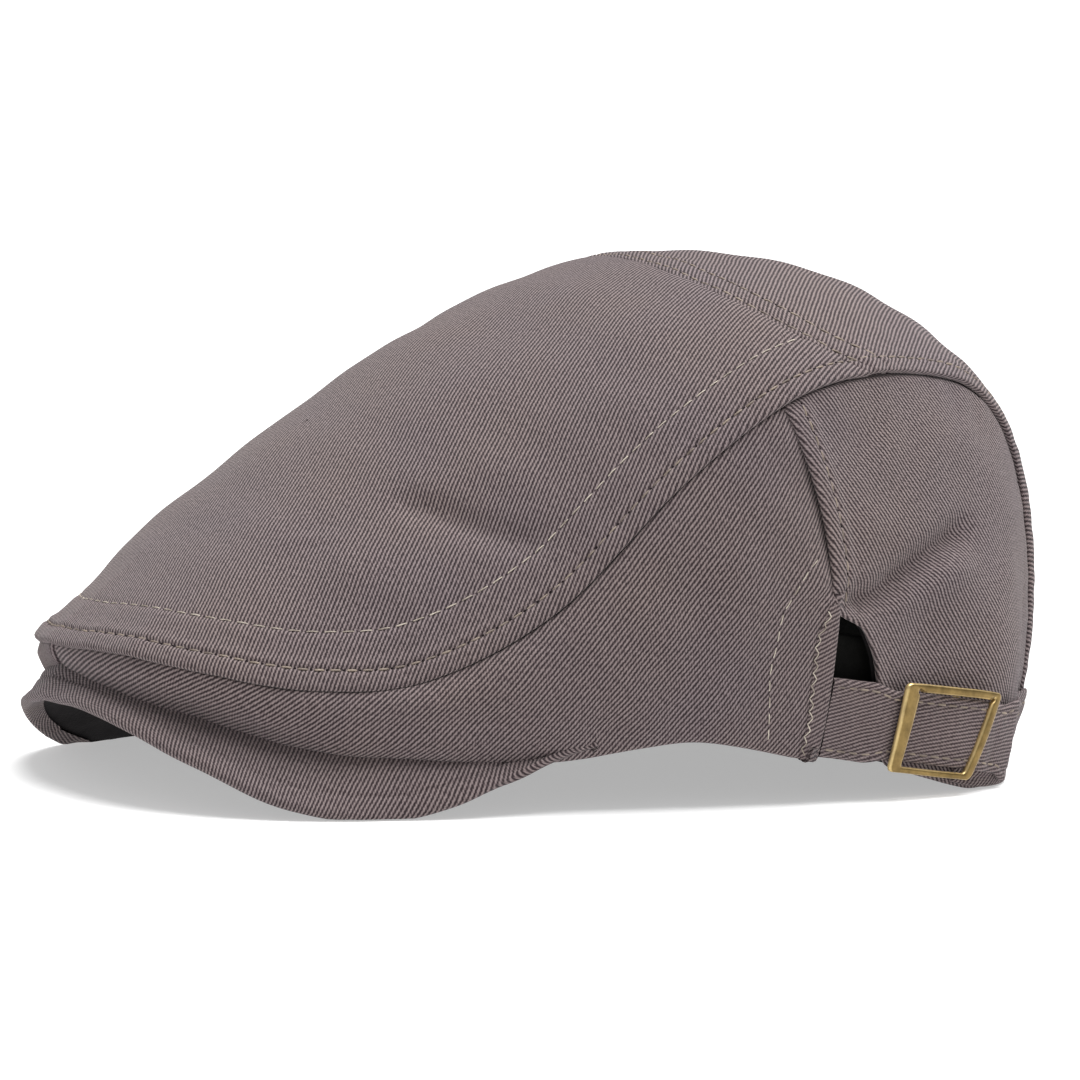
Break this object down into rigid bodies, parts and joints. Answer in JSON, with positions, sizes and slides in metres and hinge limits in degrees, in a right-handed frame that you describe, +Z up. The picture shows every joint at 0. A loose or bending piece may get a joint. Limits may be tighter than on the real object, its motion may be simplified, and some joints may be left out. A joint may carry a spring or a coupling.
{
  "type": "flat cap",
  "caption": "Grey-brown twill flat cap with a covered peak, side adjuster strap and antique brass buckle.",
  "frame": {"origin": "middle of the cap's bounding box, on the floor it rests on", "axes": "+Z up, -Y towards the peak, +X towards the wearer's left, where the strap is"},
  "size_m": [0.1658, 0.2472, 0.1223],
  "materials": {
    "twill": "matt cotton twill",
    "band": "matt black band cloth",
    "brass": "antique brushed"
  },
  "bodies": {
    "root": {"top_panel": "twill", "back_panel": "twill", "side_panel_left": "twill", "side_panel_right": "twill", "quarter_panel_left": "twill", "quarter_panel_right": "twill", "peak": "twill", "sweatband": "band", "strap": "twill", "buckle_tab": "twill", "buckle_frame": "brass", "buckle_bar": "brass"}
  },
  "joints": []
}
